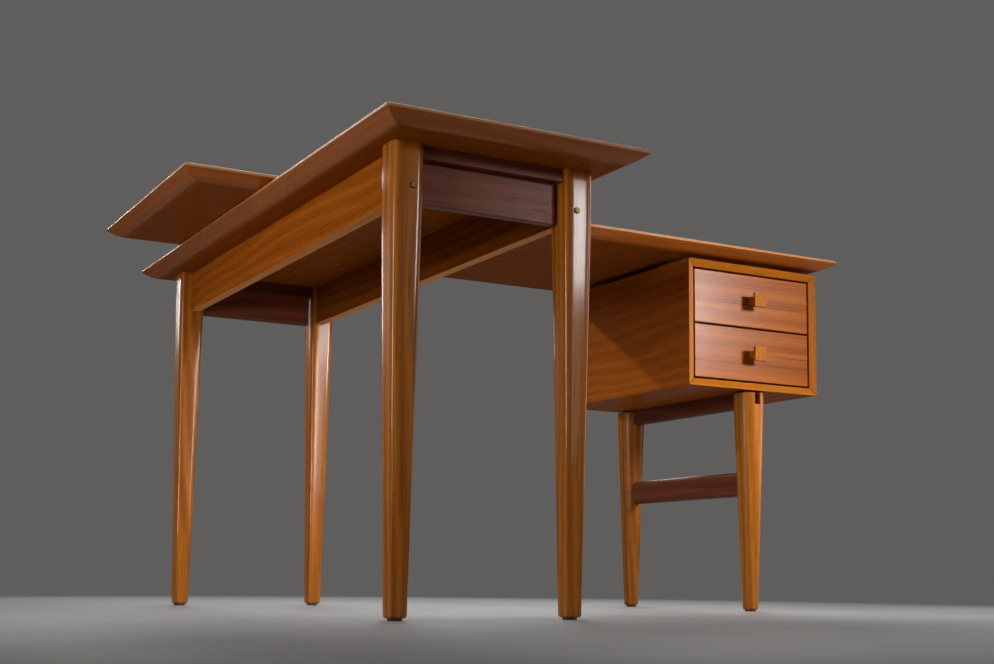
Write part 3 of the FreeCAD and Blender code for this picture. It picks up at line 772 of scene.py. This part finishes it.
class TEAKDESK_OT_pulls(bpy.types.Operator):
    """Builds the square drawer pulls on their waisted necks"""

    bl_idname = "teakdesk.pulls"
    bl_label = "Drawer pulls"

    def execute(self, context):
        sizes = settings()[0]
        for count, drawer in enumerate(("upper_drawer", "lower_drawer")):
            name = drawer + "_pull"
            low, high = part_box(name)
            middle = (low + high) / 2
            half = (high.x - low.x) / 2
            reach = high.y - low.y
            flare = reach - sizes.pull_plate
            base, neck = sizes.pull_base / 2, sizes.pull_neck / 2
            sections = []
            for k in range(PULL_STEPS + 1):
                share = k / PULL_STEPS
                waist = base + (neck - base) * math.sin(min(share * 2, 1.0) * math.pi / 2)
                side = waist if share <= 0.5 else neck + (half - neck) * (2 * share - 1) ** PULL_FLARE
                sections.append((Vector((middle.x, high.y - flare * share, middle.z)), side))
            sections.append((Vector((middle.x, low.y, middle.z)), half))
            work = post(SQUARE, sections, PULL_AXIS)
            rims = [e for e in work.edges if all(v.co.y < high.y - flare + NEAR for v in e.verts)]
            ease(work, rims, sizes.pull_easing)
            material = wood("pulls", name + "_teak", "Y", count)
            piece_from(work, "waisted_" + name, [name], material, drawer)
        return {"FINISHED"}


class TEAKDESK_OT_pedestal_frame(bpy.types.Operator):
    """Finishes the turned legs, the bridge rail and the stretcher"""

    bl_idname = "teakdesk.pedestal_frame"
    bl_label = "Pedestal frame"

    def execute(self, context):
        dress("pedestal_front_leg", wood("turned legs", "front_leg_teak", "Z"))
        # The rear leg is darkened as painted shade under the case
        dress("pedestal_rear_leg", wood("turned legs", "rear_leg_teak", "Z", 1, REAR_LEG_PAINTED_SHADE))
        dress("pedestal_bridge_rail", wood("bridge rail", "bridge_teak", "Y"))
        dress("pedestal_stretcher", wood("stretcher", "stretcher_teak", "Y"))
        return {"FINISHED"}


class TEAKDESK_OT_fixings(bpy.types.Operator):
    """Finishes the bolts, screws, nuts, dowels, keys and glides"""

    bl_idname = "teakdesk.fixings"
    bl_label = "Fixings"

    def execute(self, context):
        finish = settings()[1]
        by_slot = {
            slot: metal(name, getattr(finish, tone), roughness, metallic)
            for slot, (name, tone, roughness, metallic) in FIXINGS.items()
        }
        for row in frame["record"]["subparts"]:
            if row["material_slot"] in by_slot:
                dress(row["node"], by_slot[row["material_slot"]])
        wooden = wood("dowels", "dowel_beech", "Y")
        for name in ("apron_dowels", "end_rail_dowels", "end_board_dowels", "case_corner_keys"):
            dress(name, wooden)
        return {"FINISHED"}


class TEAKDESK_OT_stage(bpy.types.Operator):
    """Sets up the floor, the backdrop, the lamps and the camera"""

    bl_idname = "teakdesk.stage"
    bl_label = "Stage"

    def execute(self, context):
        values = settings()[2]
        scene = context.scene
        scene.view_settings.view_transform = "Standard"
        self.floor(scene, values)
        self.backdrop(scene, values)
        for lamp in LAMPS:
            self.lamp(scene, *lamp)
        self.camera(scene, values)
        return {"FINISHED"}

    def floor(self, scene, values):
        """A pale floor that fades into the backdrop."""
        work = bmesh.new()
        bmesh.ops.create_grid(work, x_segments=1, y_segments=1, size=FLOOR_HALF)
        mesh = bpy.data.meshes.new("floor")
        work.to_mesh(mesh)
        work.free()
        material = bpy.data.materials.new("pale_floor")
        material.use_nodes = True
        tree = material.node_tree
        shader = tree.nodes["Principled BSDF"]
        place = node(tree, "ShaderNodeTexCoord").outputs["Object"]
        distance = node(tree, "ShaderNodeVectorMath", {0: place}, operation="LENGTH").outputs["Value"]
        fade = ramp(tree, distance, values.floor_fade, values.floor_end)
        tone = blend_colour(tree, "MIX", fade, rgba(values.floor), rgba(values.floor_far))
        tree.links.new(tone, shader.inputs["Base Color"])
        beyond = node(tree, "ShaderNodeBsdfTransparent")
        seen = node(tree, "ShaderNodeLightPath").outputs["Is Camera Ray"]
        gone = maths(tree, "MULTIPLY", fade, seen)
        ending = node(tree, "ShaderNodeMixShader", {0: gone, 1: shader.outputs[0], 2: beyond.outputs[0]})
        tree.links.new(ending.outputs[0], tree.nodes["Material Output"].inputs["Surface"])
        clouds = {"Vector": place, "Scale": CLOUD_SCALE, "Detail": CLOUD_DETAIL}
        cloud = node(tree, "ShaderNodeTexNoise", clouds).outputs[0]
        roughness = maths(tree, "MULTIPLY_ADD", cloud, *CLOUD_ROUGHNESS)
        tree.links.new(roughness, shader.inputs["Roughness"])
        mesh.materials.append(material)
        floor = bpy.data.objects.new("floor", mesh)
        scene.collection.objects.link(floor)

    def backdrop(self, scene, values):
        """A grey backdrop that is seen and mirrored, and a weaker even light."""
        world = bpy.data.worlds.new("studio")
        scene.world = world
        world.use_nodes = True
        tree = world.node_tree
        background = tree.nodes["Background"]
        path = node(tree, "ShaderNodeLightPath")
        seen = maths(tree, "MAXIMUM", path.outputs["Is Camera Ray"], path.outputs["Is Glossy Ray"])
        seen = maths(tree, "MAXIMUM", seen, path.outputs["Is Transmission Ray"])
        even = (values.ambient, values.ambient, values.ambient, 1.0)
        light = blend_colour(tree, "MIX", seen, even, rgba(values.backdrop))
        tree.links.new(light, background.inputs["Color"])

    def lamp(self, scene, name, spot, target, size, watts, spread):
        """A rectangular lamp that the camera doesn't see."""
        data = bpy.data.lights.new(name, "AREA")
        data.shape = "RECTANGLE"
        data.size, data.size_y = size
        data.energy = watts
        data.spread = math.radians(spread)
        lamp = bpy.data.objects.new(name, data)
        lamp.location = spot
        aim = Vector(target) - Vector(spot)
        lamp.rotation_mode = "QUATERNION"
        lamp.rotation_quaternion = aim.to_track_quat("-Z", "Y")
        lamp.visible_camera = False
        scene.collection.objects.link(lamp)

    def camera(self, scene, values):
        """A camera that stands and looks as the photograph's did."""
        data = bpy.data.cameras.new("Camera")
        data.sensor_fit = "HORIZONTAL"
        data.lens = values.focal_pixels * data.sensor_width / PHOTO_WIDTH
        data.shift_y = (values.centre_row - PHOTO_HEIGHT / 2) / PHOTO_WIDTH
        data.clip_start = 0.01
        camera = bpy.data.objects.new("Camera", data)
        turn = Matrix.Rotation(-values.yaw, 4, "Z") @ Matrix.Rotation(math.pi / 2 + values.pitch, 4, "X")
        place = Matrix.Translation((values.camera_x, values.camera_y, values.camera_z))
        camera.matrix_world = place @ turn @ Matrix.Rotation(values.roll, 4, "Z")
        scene.collection.objects.link(camera)
        scene.camera = camera


OPERATORS = (
    TEAKDESK_OT_tops,
    TEAKDESK_OT_return_legs,
    TEAKDESK_OT_return_frame,
    TEAKDESK_OT_pedestal_case,
    TEAKDESK_OT_drawers,
    TEAKDESK_OT_pulls,
    TEAKDESK_OT_pedestal_frame,
    TEAKDESK_OT_fixings,
    TEAKDESK_OT_stage,
)


class TEAKDESK_PT_panel(bpy.types.Panel):
    """Lists the desk's pieces and its settings"""

    bl_idname = "TEAKDESK_PT_panel"
    bl_label = "Teak desk"
    bl_space_type = "VIEW_3D"
    bl_region_type = "UI"
    bl_category = "Desk"

    def draw(self, context):
        for operator in OPERATORS:
            self.layout.operator(operator.bl_idname)
        for group in settings():
            box = self.layout.box()
            for key in group.__annotations__:
                box.prop(group, key)


CLASSES = (TeakDeskTimber, TeakDeskFinish, TeakDeskStage, *OPERATORS, TEAKDESK_PT_panel)


def register():
    for item in CLASSES:
        bpy.utils.register_class(item)
    bpy.types.Scene.teak_desk_timber = PointerProperty(type=TeakDeskTimber)
    bpy.types.Scene.teak_desk_finish = PointerProperty(type=TeakDeskFinish)
    bpy.types.Scene.teak_desk_stage = PointerProperty(type=TeakDeskStage)


def unregister():
    del bpy.types.Scene.teak_desk_stage
    del bpy.types.Scene.teak_desk_finish
    del bpy.types.Scene.teak_desk_timber
    for item in reversed(CLASSES):
        bpy.utils.unregister_class(item)


def main():
    register()
    for operator in OPERATORS:
        group, name = operator.bl_idname.split(".")
        getattr(getattr(bpy.ops, group), name)()


if __name__ == "__main__":
    main()
